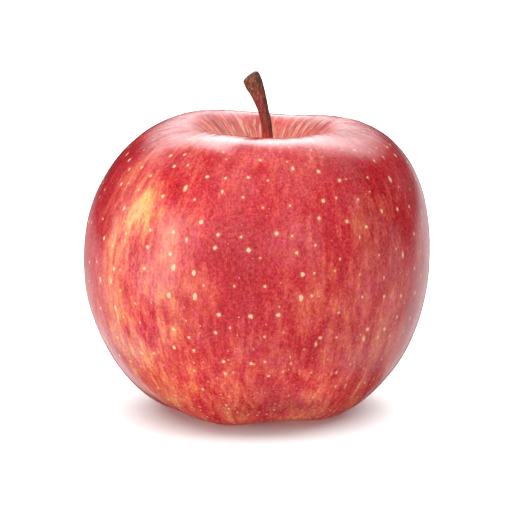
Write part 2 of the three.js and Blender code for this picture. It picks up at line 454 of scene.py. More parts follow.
def make_fruit(settings):
    rings, unrolled, lengths = skin_rings(settings)
    rings[..., 2] = np.maximum(rings[..., 2], 0)
    low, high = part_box("fruit")
    flat = rings.reshape(-1, 3)
    lowest, highest = flat.min(0), flat.max(0)
    fit = min(*(np.subtract(high, low) / TO_METRES / (highest - lowest))[:2], 1)
    centred = rings[..., :2] - (lowest + highest)[:2] / 2
    rings[..., :2] = centred * fit + np.add(low, high)[:2] / 2 / TO_METRES
    points, faces = closed_grid(rings, rings[0].mean(0), rings[-1].mean(0))
    piece = mesh_piece("apple_skin", points, faces, Skin(settings, lengths).finished())
    sheet = np.concatenate([unrolled.reshape(-1, 3), [(0, 0, 0), (0, 0, lengths["seat"])]])
    place = piece.data.attributes.new("unrolled", "FLOAT_VECTOR", "POINT")
    place.data.foreach_set("vector", sheet.astype(np.float32).ravel())
    girth = np.concatenate([np.repeat(half_profile()[:, 0] / BODY_RADIUS, SKIN_SIDES), [0, 0]])
    piece.data.attributes.new("girth", "FLOAT", "POINT").data.foreach_set("value", girth.astype(np.float32))
    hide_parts("fruit")
    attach(piece, "root")


# How much redder each kind of mottling, and each part of the skin, makes it.
CLOUD_RED, BROAD_RED, NARROW_RED, GRIT_RED, FLECK_RED = 0.34, 0.94, 0.72, -0.1, -0.22
LOW_DOWN_RED, CROWN_RED, BASIN_RED = -0.04, 0.14, -0.35
# How red the skin is at each of its main colours.
RED_STOPS = {"ground": 0.0, "orange": 0.25, "coral": 0.5, "crimson": 0.74, "wine": 1.0}
# What the skin's colour is multiplied by: low on the fruit, and in cool and warm flecks.
LOWEST_TINT, COOL_TINT, WARM_TINT = (1.08, 0.96, 0.95), (1, 0.9, 1.1), (1, 1.1, 0.88)
# How brightness starts, and what the grit and the two mottlings change it by.
SHADE_START, GRIT_SHADE, NARROW_SHADE, BROAD_SHADE = 0.65, 1.1, -0.26, -0.14
# How much of the skin's colour the bloom, its grit, the flush, the russet and the cream streaks take.
# The bloom is partly painted sheen, and the flush partly painted light in the cavity.
BLOOM_START, BLOOM_GRIT, FLUSH_AND_LIGHT_COVER, RUSSET_COVER, CREAM_COVER = -0.138, 0.34, 0.65, 0.5, 0.65
# Millimetres between large pores and between small ones, and how much the pores and their halos cover.
LARGE_SPACING, SMALL_SPACING, DOT_COVER, SMALL_COVER, HALO_COVER = 6.2, 3.1, 0.9, 0.8, 0.14
# What the pores and the cavity's dull skin add to the gloss's roughness, and the relief's depth in metres.
DOT_ROUGH, CAVITY_ROUGH, RELIEF = 0.15, 0.32, 0.00004


class Skin(Finish):
    """The fruit's finish, with the noises and places that its colour and its gloss share."""

    def __init__(self, settings, lengths):
        super().__init__("apple skin")
        self.settings = settings
        self.basin, self.base, self.widest, self.rim, _ = lengths.values()
        self.spot = self.place()
        self.unrolled = self.attribute("unrolled", "Vector")
        self.across, self.onward, self.along = self.parts(self.unrolled)
        self.broad = self.noise(self.unrolled, (4.4, 4.4, 10), detail=4, roughness=0.62, distortion=0.3)
        self.narrow = self.noise(self.unrolled, (1.6, 1.6, 5.2), detail=3, roughness=0.65)
        self.grit = self.noise(self.spot, (0.62, 0.62, 0.75), detail=2, roughness=0.85)
        self.wobble = self.scaled(self.broad, 1.6, -0.8)
        self.crown = self.spread(self.along, self.rim - 22, self.rim - 4)
        self.lines = self.drawn_lines()

    def drawn_lines(self):
        """Thin lines over the crown, faint at the front and back."""
        aside = self.maths("ABSOLUTE", self.across)
        sideways = self.spread(aside, BODY_RADIUS * 0.25, BODY_RADIUS * 0.9, 0.12, 1.0)
        lines = self.noise(self.unrolled, (1.1, 1.1, 26), detail=4, roughness=0.75)
        return self.scaled(self.scaled(lines, 3.4, -1.7), self.scaled(self.crown, sideways))

    def patched(self, value, table):
        """value, with what each soft-edged patch of the table adds to it."""
        for angle, up, width, length, more in table:
            turn = math.radians(angle)
            centre = (BODY_RADIUS * math.cos(turn), BODY_RADIUS * math.sin(turn), self.widest + up)
            offset = self.vector_maths("SUBTRACT", self.unrolled, centre)[0]
            sized = self.stretched(offset, (width / 2, width / 2, length / 2))
            reach = self.maths("ADD", self.vector_maths("LENGTH", sized)["Value"], self.wobble)
            value = self.scaled(self.spread(reach, 1.25, 0.25), more, value)
        return value

    def redness(self):
        """How red the skin is, from 0, the ground colour, to 1, wine."""
        cloud = self.noise(self.unrolled, (13, 13, 15), detail=1)
        low_down = self.spread(self.along, self.widest + 4, self.base + 4)
        flecks = self.spread(self.noise(self.unrolled, (0.9, 0.9, 2.6), roughness=0.6), 0.56, 0.72)
        flecks = self.scaled(flecks, self.scaled(low_down, 0.5, 0.5))
        in_basin = self.spread(self.along, self.base - 1, self.basin + 3)
        red = self.stacked(-CLOUD_RED, (cloud, CLOUD_RED), (self.broad, BROAD_RED), (self.narrow, NARROW_RED),
                           (self.grit, GRIT_RED), (low_down, LOW_DOWN_RED))
        return self.stacked(self.patched(red, BLUSHES), (flecks, FLECK_RED), (self.crown, CROWN_RED),
                            (in_basin, BASIN_RED))

    def streaked(self):
        """The skin's colour without its pores and the marks in the stem's cavity."""
        stops = [(at, getattr(self.settings, name)) for name, at in RED_STOPS.items()]
        tint = self.ramp(self.redness(), stops)
        haze = self.noise(self.spot, (11, 11, 15), detail=3, roughness=0.6)
        # The bloom's haze and its patches are partly painted sheen.
        misty = self.patched(self.spread(haze, 0.4, 0.75, 0.0, 0.1), BLOOM_AND_SHEEN_PATCHES)
        misty = self.scaled(self.grit, BLOOM_GRIT, self.maths("ADD", misty, BLOOM_START))
        tint = self.mix(misty, tint, self.settings.bloom_and_sheen)
        # The flush lightens the cavity: partly its pinker skin, partly painted light against its shade.
        flushed_and_lit = self.spread(self.along, self.rim + 1, self.rim + 11, 0.0, FLUSH_AND_LIGHT_COVER)
        tint = self.mix(flushed_and_lit, tint, self.settings.flush)
        lowest = self.spread(self.along, self.widest - 13, self.widest - 28)
        tint = self.mix(lowest, tint, self.tinted(tint, LOWEST_TINT))
        warm = self.spread(self.noise(self.unrolled, (1.3, 1.3, 2.6), detail=1), 0.36, 0.64)
        tint = self.tinted(tint, self.mix(warm, COOL_TINT, WARM_TINT))
        shade = self.stacked(SHADE_START, (self.grit, GRIT_SHADE), (self.narrow, NARROW_SHADE),
                             (self.broad, BROAD_SHADE))
        # The patches add painted light and painted shade to the skin's brightness.
        shade = self.maths("ADD", self.patched(shade, LIGHT_AND_SHADE_PATCHES), self.lines)
        return self.tinted(tint, shade)

    def corked(self, tint):
        """tint, with russet in the cavity in streaks that run out to its rim, and cream ones between them."""
        streaky = self.noise(self.unrolled, (3.4, 3.4, 40), detail=3, roughness=0.7)
        deep = self.maths("ADD", self.along, self.scaled(streaky, 22, -11))
        russet = self.spread(deep, self.rim + 4, self.rim + 16, 0.0, RUSSET_COVER)
        tint = self.mix(russet, tint, self.settings.russet)
        stroke = self.noise(self.unrolled, (2.6, 2.6, 9), detail=4, roughness=0.65, distortion=0.9)
        inward = self.spread(self.along, self.rim - 2, self.rim + 8, 0.0, CREAM_COVER)
        return self.mix(self.scaled(self.spread(stroke, 0.5, 0.62), inward), tint, self.settings.cream)

    def flat_sheet(self, back):
        """The front or back half of the skin laid flat, in millimetres, with 0 at its middle."""
        sign = -1.0 if back else 1.0
        angle = self.maths("ARCTAN2", self.scaled(self.across, sign), self.scaled(self.onward, -sign))
        inputs = {0: self.scaled(angle, BODY_RADIUS), 1: self.along}
        return self.add("ShaderNodeCombineXYZ", inputs).outputs[0]

    def pores(self, sheet, ragged, spacing, size_of):
        """How far inside a pore's edge each place is, in millimetres, for pores about spacing apart.

        size_of turns a pore's own random value into its radius. A pore belongs to the half of the skin that
        its middle lies on, so none is cut where the halves meet.
        """
        inputs = {"Vector": self.stretched(sheet, (spacing,) * 3), "Scale": 1.0, "Randomness": 0.85}
        cells = self.add("ShaderNodeTexVoronoi", inputs, voronoi_dimensions="2D").outputs
        middle = self.stretched(cells["Position"], (1 / spacing,) * 3)
        own = self.add("ShaderNodeSeparateColor", {0: cells["Color"]}).outputs
        across, onward, _ = self.parts(self.vector_maths("SUBTRACT", sheet, middle)[0])
        girth = self.attribute("girth")
        long = self.spread(own[1], 0.55, 1.0, 1.0, 0.55)
        across, onward = self.scaled(across, girth), self.scaled(onward, long)
        narrowed = self.add("ShaderNodeCombineXYZ", {0: across, 1: onward}).outputs[0]
        far = self.vector_maths("LENGTH", narrowed)["Value"]
        inside = self.maths("SUBTRACT", size_of(own[0]), self.maths("ADD", far, ragged))
        off_middle = self.maths("ABSOLUTE", self.parts(middle)[0])
        mine = self.maths("LESS_THAN", off_middle, BODY_RADIUS * math.pi / 2)
        return self.maths("ADD", inside, self.scaled(mine, 10.0, -10.0))

    def both_halves(self, ragged, spacing, size_of):
        front, back = (self.pores(self.flat_sheet(back), ragged, spacing, size_of) for back in (False, True))
        return self.maths("MAXIMUM", front, back)

    def dotted(self, tint):
        """tint with the pores, few and large at the middle and many and small low down, and their mask."""
        radius = self.settings.dot_radius
        ragged = self.scaled(self.noise(self.spot, (0.45, 0.45, 0.45)), 0.5, -0.25)
        upper = self.spread(self.along, self.rim - 2, self.rim - 16)
        lower = self.spread(self.along, self.base + 6, self.widest - 4, 0.5, 1.0)
        fading = self.scaled(upper, lower)
        growing = self.spread(self.along, self.widest + 16, self.base + 14, 0.35, 1.0)

        def large(own):
            return self.scaled(self.spread(own, 0.02, 1.0, radius * 0.45, radius), fading)

        def small(own):
            return self.scaled(self.spread(own, 0.3, 1.0, 0.0, radius * 0.52), growing)

        inside = self.both_halves(ragged, LARGE_SPACING, large)
        inside_small = self.both_halves(ragged, SMALL_SPACING, small)
        small_dots = self.scaled(self.spread(inside_small, -0.05, 0.12, 0.0, SMALL_COVER), upper)
        dots = self.maths("MAXIMUM", self.spread(inside, -0.14, 0.2), small_dots)
        tint = self.mix(self.spread(inside, -0.7, 0.0, 0.0, HALO_COVER), tint, self.settings.orange)
        return self.mix(self.scaled(dots, DOT_COVER), tint, self.settings.dot), dots

    def finished(self):
        """The material, its waxy gloss duller in patches, on the pores and in the cavity."""
        tint, dots = self.dotted(self.corked(self.streaked()))
        waxy = self.spread(self.noise(self.spot, (9, 9, 12), detail=3), 0.3, 0.75, 0.17, 0.26)
        matte = self.spread(self.along, self.rim - 1, self.rim + 7)
        roughness = self.stacked(waxy, (dots, DOT_ROUGH), (matte, CAVITY_ROUGH))
        peel = self.noise(self.spot, (0.7, 0.7, 0.7))
        height = self.stacked(0.0, (peel, 0.35), (dots, 0.5), (self.narrow, 0.5), (self.lines, 1.1))
        return self.set(Base_Color=tint, Roughness=roughness, Normal=self.bump(height, RELIEF), IOR=1.42)


# --- Stem ---

# The stem's middle line as (x, y, z) from the cavity's bottom.
STEM_LINE = ((0, 0, -2.5), (0, 0, 3), (0, 0.1, 9.7),
             (-0.55, 0.3, 14.4), (-2.15, 0.8, 19.9), (-4.15, 1.4, 24.3))
STEM_RADIUS, STEM_SWELL, STEM_SWELL_REACH = 1.28, 0.2, 3.0
STEM_FLARE, STEM_FLARE_START, STEM_FLATNESS = 0.82, 0.62, 0.8
STEM_END_WAVES = ((3, 0.12, 30), (5, 0.07, 80))
STEM_END_SLANT, STEM_END_DOME = 0.18, 0.5
STEM_KNOBS, STEM_LIP = 0.24, 0.06  # how high the knobs near the end are, and the share its lip draws in
# The foot's tint is partly its redder colour and partly painted light against the cavity's shade.
FOOT_TINT_AND_LIGHT = (2.6, 1.4, 1.9)  # what the bark's colour is multiplied by at its foot, where it is redder


class StemSettings(bpy.types.PropertyGroup):
    bark: colour("Bark", "The stem's side that saw the sun", (0.31, 0.027, 0.019))
    wood: colour("Wood", "The stem's paler side and its end", (0.2, 0.043, 0.013))
    pale: colour("Pale fibres", "The dry fibres and flecks", (0.6, 0.25, 0.09))
    # The dark colour is also painted shade down the stem's right side.
    dark: colour("Dark furrows", "The furrows between the fibres", (0.05, 0.016, 0.011))
    broken: colour("Broken end", "The rough face where it came off the tree", (0.09, 0.045, 0.022))
    ridge_height: number("Ridge height", "Height of the ridges along the stem, in millimetres", 0.07, 0, 0.4)


def curve_through(points, count):
    """Evenly spaced points on a smooth curve through the given ones."""
    points = np.array(points, float)
    padded = np.concatenate([[2 * points[0] - points[1]], points, [2 * points[-1] - points[-2]]])
    t = np.linspace(0, 1, 24, endpoint=False)[:, None]
    pieces = []
    for a, b, c, d in zip(padded, padded[1:], padded[2:], padded[3:]):
        pieces.append(0.5 * (2 * b + (c - a) * t + (2 * a - 5 * b + 4 * c - d) * t**2
                             + (3 * b - a - 3 * c + d) * t**3))
    dense = np.concatenate([*pieces, points[-1:]])
    run = np.concatenate([[0], np.cumsum(np.linalg.norm(np.diff(dense, axis=0), axis=1))])
    even = np.linspace(0, run[-1], count)
    return np.stack([np.interp(even, run, dense[:, axis]) for axis in range(3)], -1)


def pole_point(height):
    """Where the fruit's middle line meets the skin, at the cavity's bottom or in the basin."""
    return skin_points(np.array(0.0), np.array(height), np.array(0.0)) + footprint_shift()


def stem_rings(settings):
    """Rings of points up the stem, then rings that close over its broken end."""
    sides, count = 56, 130
    centre = curve_through(STEM_LINE, count)
    onward = unit(np.gradient(centre, axis=0))
    across = unit((1.0, 0, 0) - onward * onward[:, :1])
    away = np.cross(onward, across)
    share = np.linspace(0, 1, count)[:, None]
    angle = turn_round(sides)
    flare = smooth((share - STEM_FLARE_START) / (1 - STEM_FLARE_START))
    swell = STEM_SWELL * np.exp(-((centre[:, 2:] / STEM_SWELL_REACH) ** 2))
    radius = STEM_RADIUS + swell + flare * (STEM_FLARE + waves(STEM_END_WAVES, angle))
    turned = np.stack(np.broadcast_arrays(3 * np.cos(angle), 3 * np.sin(angle), share * 9), -1)
    coarse, fine = noise_at(turned, 1.0, 4.4), noise_at(turned * (2.4, 2.4, 1.5), 1.0, 9.3)
    ridges = settings.ridge_height * (coarse + 0.6 * fine)
    knobs = STEM_KNOBS * smooth((share - 0.8) / 0.2) * (0.4 + noise_at(turned * (1, 1, 2.4), 1.3, 6.1))
    radius = radius + ridges + knobs
    right = radius * np.cos(angle)
    back = radius * np.sin(angle) * (1 + (STEM_FLATNESS - 1) * flare)
    lip = smooth((share - 0.96) / 0.04) * STEM_LIP
    rise = flare**4 * STEM_END_SLANT * right
    rings = (centre[:, None] + across[:, None] * (right * (1 - lip))[..., None]
             + away[:, None] * (back * (1 - lip))[..., None] + onward[:, None] * rise[..., None])
    cap = []
    for inward in np.linspace(0.92, 0.08, 10):
        dome = STEM_END_DOME * (1 - inward**2)
        ring = centre[-1] + (rings[-1] - centre[-1]) * inward + onward[-1] * dome
        rough = noise_at(ring, 0.55, 2.0) * 0.3 * smooth((1 - inward) * 5)
        cap.append(ring + onward[-1] * rough[:, None])
    return np.concatenate([rings, cap]), share


def make_stem(settings):
    rings, share = stem_rings(settings)
    rings = rings + pole_point(SEAT_HEIGHT)
    points, faces = closed_grid(rings, rings[0].mean(0), rings[-1].mean(0))
    piece = mesh_piece("apple_stem", points, faces, stem_finish(settings))
    sides = rings.shape[1]
    height, cap = np.ones(len(points)), np.ones(len(points))
    height[: len(share) * sides] = np.repeat(share[:, 0], sides)
    cap[: len(share) * sides] = 0
    height[-2] = cap[-2] = 0
    for name, values in (("share", height), ("end", cap)):
        piece.data.attributes.new(name, "FLOAT", "POINT").data.foreach_set("value", values.astype(np.float32))
    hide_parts("stem")
    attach(piece, "root")


def stem_finish(settings):
    bark = Finish("stem bark")
    place = bark.place()
    share, end = bark.attribute("share"), bark.attribute("end")
    fibre = bark.noise(place, (0.4, 0.4, 2.4), detail=4, roughness=0.7)
    blotch = bark.noise(place, (1.1, 1.1, 2.2), detail=3, roughness=0.6)
    fleck = bark.noise(place, (0.45, 0.45, 0.7), detail=2, roughness=0.6)
    left = bark.spread(bark.parts(bark.add("ShaderNodeNewGeometry").outputs["Normal"])[0], 0.5, -0.9)
    tip = bark.spread(share, 0.72, 0.97)
    pale = bark.stacked(-0.65, (blotch, 1.3), (left, 0.4), (tip, 0.6))
    tint = bark.mix(bark.spread(pale, 0.2, 0.9), settings.bark, settings.wood)
    # Darker down the stem's right side: painted shade.
    tint = bark.mix(bark.spread(left, 0.13, 0.0, 0.0, 0.6), tint, settings.dark)
    tint = bark.mix(bark.spread(fibre, 0.5, 0.38, 0.0, 0.7), tint, settings.dark)
    tint = bark.mix(bark.spread(fibre, 0.54, 0.7, 0.0, 0.35), tint, settings.pale)
    some = bark.scaled(tip, 0.6, 0.3)
    tint = bark.mix(bark.scaled(bark.spread(fleck, 0.56, 0.68), some), tint, settings.pale)
    tint = bark.mix(bark.scaled(bark.spread(fleck, 0.46, 0.34), some), tint, settings.dark)
    tint = bark.mix(bark.scaled(end, 0.6), tint, settings.broken)
    # Redder and lighter at the foot, deep in the cavity: partly painted light.
    foot = bark.spread(share, 0.35, 0.62)
    tint = bark.mix(foot, bark.tinted(tint, FOOT_TINT_AND_LIGHT), tint)
    height = bark.stacked(0.0, (blotch, 0.3), (fibre, 0.7), (fleck, 0.5))
    return bark.set(Base_Color=tint, Roughness=bark.spread(fibre, 0.3, 0.7, 0.45, 0.7),
                    Normal=bark.bump(height, 0.0004))


# --- Calyx ---

CUP_RADIUS, CUP_SUNK, CUP_RIM, CUP_HOLLOW = 3.1, 1.0, 0.8, 0.7
SEPALS, SEPAL_ANGLE = 5, math.radians(35)
# The curve of a sepal's middle line, as (out from the basin's middle, away from the fruit).
SEPAL_LINE = ((2.4, -0.4), (1.5, 2.0), (2.0, 4.2), (4.7, 3.9))
STAMEN_BROWN, BLOTCH_BROWN = (0.09, 0.05, 0.03), (0.28, 0.2, 0.11)


class CalyxSettings(bpy.types.PropertyGroup):
    leaf: colour("Sepals", "The dried sepals", (0.13, 0.075, 0.035))
    edge: colour("Sepal edges", "The sepals' curled edges and tips", (0.045, 0.025, 0.014))
    down: colour("Down", "The fine hairs on the sepals", (0.55, 0.47, 0.35))
    sepal_width: number("Sepal width", "Width of a sepal at its root, in millimetres", 3.3, 1, 6)
    stamens: whole_number("Stamens", "How many dried stamens stand in the cup", 16, 40)
    hairs: whole_number("Hairs", "How many fine hairs the sepals carry", 700, 4000)


def under_fruit(parts):
    """Turns the calyx's parts, whose heights run away from the fruit, into the frame."""
    basin = pole_point(BASIN_HEIGHT)
    return [np.asarray(part) * (1, -1, -1) + basin for part in parts]


def sepal_points(settings, dice):
    """One sepal over the +X side, as rings of points round its thin section, root first."""
    rows, half = 26, 9
    t = np.linspace(0, 1, rows)
    root, bend, reach, tip = np.array(SEPAL_LINE)
    tip = tip + (dice.uniform(-0.5, 0.1), dice.uniform(-0.5, 0.3))
    reach = reach + (dice.uniform(-0.3, 0.4), dice.uniform(-0.2, 0.2))
    middle = np.array([root, *bezier(rows - 1, root, bend, reach, tip)])
    onward = unit(np.gradient(middle, axis=0))
    outward = np.stack([onward[:, 1], -onward[:, 0]], -1)
    width = settings.sepal_width * (1 - t**1.5) * 0.9 + 0.35
    twist = dice.uniform(-0.5, 0.5)
    across = np.concatenate([np.linspace(-1, 1, half), np.linspace(1, -1, half)])
    side = np.concatenate([np.ones(half), -np.ones(half)])
    rings = np.zeros((rows, 2 * half, 3))
    curl, wave = dice.uniform(0.25, 0.5), dice.uniform(0, FULL_TURN)
    for row in range(rows):
        edge = np.abs(across)
        thick = 0.26 * (1 - 0.55 * edge**2) * (1 - 0.5 * t[row])
        cupped = 0.5 * (1 - t[row]) * (1 - across**2) + curl * t[row] ** 2 * across**2
        crinkle = 0.13 * math.sin(9 * t[row] + wave) * across + 0.07 * np.sin(23 * t[row] + 4 * across + wave)
        offset = side * thick + cupped + crinkle
        flat = middle[row] + outward[row] * offset[:, None]
        lateral = across * width[row] / 2 + twist * t[row] ** 2
        rings[row] = np.stack([flat[:, 0], lateral, flat[:, 1]], -1)
    return rings


def turned_by(points, angle):
    along, over = math.cos(angle), math.sin(angle)
    return np.asarray(points) @ np.array([[along, over, 0], [-over, along, 0], [0, 0, 1]])


def strand(path, radius, sides=5):
    """Rings round a short bent path that narrows to its tip."""
    path = np.asarray(path, float)
    onward = unit(np.gradient(path, axis=0))
    helper = np.where(np.abs(onward[:, 2:]) > 0.8, [[1.0, 0, 0]], [[0, 0, 1.0]])
    across = unit(np.cross(onward, helper))
    over = np.cross(onward, across)
    angle = turn_round(sides)[..., None]
    taper = np.linspace(1, 0.35, len(path))[:, None, None] * radius
    return path[:, None] + taper * (across[:, None] * np.cos(angle) + over[:, None] * np.sin(angle))


def joined(name, parts, finish):
    """One mesh from closed skins, each given as rings of points."""
    points, faces, start = [], [], 0
    for rings in parts:
        some, their_faces = closed_grid(rings, rings[0].mean(0), rings[-1].mean(0), start)
        points.append(some)
        faces += their_faces
        start += len(some)
    return mesh_piece(name, np.concatenate(points), faces, finish)


def make_calyx(settings):
    dice = random.Random(11)
    profile = np.array([(0.4, -CUP_SUNK), (CUP_RADIUS, -CUP_SUNK), (CUP_RADIUS, 0),
                        (CUP_RADIUS * 0.9, CUP_RIM * 0.8), (CUP_RADIUS * 0.78, CUP_RIM),
                        (CUP_RADIUS * 0.6, CUP_RIM * 0.7), (CUP_RADIUS * 0.4, CUP_RIM - CUP_HOLLOW),
                        (0.3, CUP_RIM - CUP_HOLLOW - 0.2)])
    angle = turn_round(60)
    radius = profile[:, :1] + 0.12 * np.cos(5 * angle) * (profile[:, :1] > 2)
    cup = np.stack(np.broadcast_arrays(radius * np.cos(angle), radius * np.sin(angle), profile[:, 1:]), -1)
    sepals = [turned_by(sepal_points(settings, dice), SEPAL_ANGLE + i * FULL_TURN / SEPALS)
              for i in range(SEPALS)]
    leaves = joined("calyx_sepals", under_fruit([cup, *sepals]), sepal_finish(settings))
    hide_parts("calyx")
    threads = under_fruit(stamen(dice) for _ in range(settings.stamens))
    stamens = joined("calyx_stamens", threads, plain_finish("stamens", STAMEN_BROWN, 0.8))
    hairs = under_fruit(hair(sepals, dice) for _ in range(settings.hairs))
    down = joined("calyx_down", hairs, plain_finish("down", settings.down, 0.7))
    for piece in (leaves, stamens, down):
        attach(piece, "root")


def stamen(dice):
    """One dried thread standing in the cup and leaning to its middle."""
    turn, foot = dice.uniform(0, FULL_TURN), dice.uniform(0.9, 1.9)
    top = foot * dice.uniform(0.2, 0.9)
    height = dice.uniform(1.6, 3.0)
    path = []
    for t in np.linspace(0, 1, 6):
        reach = foot + (top - foot) * t + 0.25 * math.sin(3 * t + turn)
        path.append((reach, 0.2 * math.sin(4 * t + 2 * turn), 0.1 + height * t))
    rings = strand(path, 0.11)
    rings[-1] = rings[-1].mean(0) + (rings[-1] - rings[-1].mean(0)) * 3
    return turned_by(rings, turn)


def hair(sepals, dice):
    """One fine hair on the outside of a sepal."""
    sepal = dice.choice(sepals)
    row = dice.randrange(2, sepal.shape[0] - 1)
    column = dice.randrange(1, sepal.shape[1] // 2 - 1)
    root = sepal[row, column]
    sideways = sepal[row, column + 1] - sepal[row, column - 1]
    onward = sepal[row + 1, column] - sepal[row - 1, column]
    normal = np.cross(sideways, onward)
    normal = -normal / (np.linalg.norm(normal) + 1e-9)
    lean = np.array([dice.uniform(-0.5, 0.5) for _ in range(3)])
    length = dice.uniform(0.25, 0.6)
    return strand([root - normal * 0.05, root + (normal + lean * 0.5) * length * 0.5,
                   root + (normal + lean * 1.4) * length], 0.022, 3)


def sepal_finish(settings):
    leaf = Finish("dried sepals")
    place = leaf.place()
    veins = leaf.noise(place, (0.35, 0.35, 1.6), detail=4, roughness=0.7)
    blotch = leaf.noise(place, (1.4, 1.4, 1.4), detail=3)
    tint = leaf.mix(leaf.spread(veins, 0.35, 0.65), settings.edge, settings.leaf)
    tint = leaf.mix(leaf.spread(blotch, 0.5, 0.8, 0.0, 0.6), tint, BLOTCH_BROWN)
    return leaf.set(Base_Color=tint, Roughness=leaf.spread(veins, 0.3, 0.7, 0.7, 0.9),
                    Normal=leaf.bump(veins, 0.0002))


def plain_finish(name, tint, roughness):
    """A dry finish, mottled a little."""
    dry = Finish(name)
    mottle = dry.noise(dry.place(), (0.5, 0.5, 0.5), detail=3)
    darker = tuple(part * 0.5 for part in tint)
    return dry.set(Base_Color=dry.mix(dry.spread(mottle, 0.3, 0.7), darker, tint),
                   Roughness=dry.spread(mottle, 0.3, 0.7, roughness - 0.1, roughness + 0.1))


# --- Stage ---

AIM = (0.8, 0.25, 35.0)  # the middle of the fruit
AIM_LEFT, AIM_UP = 1.0, 2.0  # how far the camera looks to the left of it and above it
CAMERA_ELEVATION, CAMERA_DISTANCE, CAMERA_LENS = math.radians(10.9), 700.0, 203.8
FLOOR_REACH = 4000  # from the middle to the floor's edges
FRONT_GLOSS, DARK_BEHIND = 0.55, 0.04  # the front light and the dark behind, as the gloss mirrors them
LEFT_MORE = 0.51  # how much stronger the front light is on its left
# How the even lights change with height: degrees up, from and to, and their strength at each.
FRONT_RISE, BEHIND_RISE, ABOVE_RISE = (-55, 65, 0.8, 1.22), (-5, 55, 1.0, 0.2), (35, 80, 0.0, 1.0)
# A lamp is (degrees from straight behind to the right, degrees up, metres away, (width, height) in metres).
WINDOW, FLOOR_LAMP = (-117, 9, 1.0, (0.3, 0.8)), (5, 70, 0.8, (2.6, 1.8))


class StageSettings(bpy.types.PropertyGroup):
    floor: colour("Floor", "The pale floor", (0.52, 0.52, 0.52))
    floor_glow: number("Floor glow", "How far the floor is lit from under, as a light table is", 0.06, 0, 2)
    front: number("Front light", "Strength of the even light from the front", 1.22, 0, 5)
    above: number("Light from above", "Strength of the even light from above", 1.0, 0, 5)
    surround: number("Surrounding light", "Strength of the even light from elsewhere", 0.5, 0, 5)
    cards: number("Cards", "Strength of the bright cards that the gloss mirrors", 1.0, 0, 5)
    window: number("Window", "Power of the tall light at the front left", 2.2, 0, 100, unit="POWER")
    floor_light: number("Floor light", "Power of the light overhead that falls on the floor alone",
                        79.0, 0, 100, unit="POWER")


# Bright cards that only the gloss mirrors: degrees from straight behind to the right, from and to; degrees
# up, from and to; how soft their edges are in degrees, how bright they are, and how far they rise for each
# degree to the right.
CARDS = (
    (-6, 31, 21, 47, 18, 6.6, 0.3),
    (-26, -6, 20, 42, 17, 9.0, -1.2),
    (31, 49, 16, 44, 10, 3.6, 0.35),
    (-27, -8, 16.4, 24.4, 5, 7.2, -0.4),
    (-50, -27, 15, 23, 6, 2.6, -0.4),
    (-12, 16, 12, 26, 8, 0.45, 0),
    (-8, 150, 52, 84, 14, 1.0, 0),
    (-64, -48, 32, 50, 8, 1.3, 0),
    (14, 48, -21, 8, 9, 1.08, -0.25),
    (48, 74, -27, 7, 10, 0.85, -0.25),
    (72, 102, -50, 3, 12, 0.85, 0),
    (-58, -36, -27, -3, 8, 0.95, 0),
    (-36, -14, -31, -3, 8, 0.68, 0),
    (-34, -13, -26, -12, 6, 0.45, 0),
    (-92, -58, -26, 34, 16, 0.85, 0),
)


def soft_light(name, turn, rise, far, size, power):
    """A rectangular light that faces the middle of the apple."""
    light = bpy.data.lights.new(name, "AREA")
    light.shape = "RECTANGLE"
    light.size, light.size_y = size
    light.energy = power
    lamp = bpy.data.objects.new(name, light)
    turn, rise = math.radians(turn), math.radians(rise)
    away = Vector((math.sin(turn) * math.cos(rise), math.cos(turn) * math.cos(rise), math.sin(rise)))
    lamp.location = away * far + Vector((0, 0, AIM[2] * TO_METRES))
    lamp.rotation_euler = away.to_track_quat("Z", "Y").to_euler()
    lamp.visible_camera = False
    bpy.context.scene.collection.objects.link(lamp)
    return lamp


def make_camera():
    data = bpy.data.cameras.new("camera")
    data.lens = CAMERA_LENS
    data.sensor_width = 36
    data.clip_start, data.clip_end = 0.01, 20
    camera = bpy.data.objects.new("camera", data)
    back = Vector((0, -math.cos(CAMERA_ELEVATION), math.sin(CAMERA_ELEVATION)))
    up = Vector((0, math.sin(CAMERA_ELEVATION), math.cos(CAMERA_ELEVATION)))
    aim = Vector(AIM) - Vector((AIM_LEFT, 0, 0)) + up * AIM_UP
    camera.location = (aim + back * CAMERA_DISTANCE) * TO_METRES
    camera.rotation_euler = (-back).to_track_quat("-Z", "Y").to_euler()
    bpy.context.scene.collection.objects.link(camera)
    bpy.context.scene.camera = camera


class Surroundings(Finish):
    """The world's nodes, made with the same short calls as a finish."""

    def __init__(self, world):
        world.use_nodes = True
        self.tree = world.node_tree
        self.tree.nodes.clear()
        self.output = self.add("ShaderNodeOutputWorld")

    def between(self, value, low, high, soft):
        """1 from low to high and 0 outside, with soft edges."""
        rise = self.spread(value, low - soft / 2, low + soft / 2)
        return self.scaled(rise, self.spread(value, high + soft / 2, high - soft / 2))


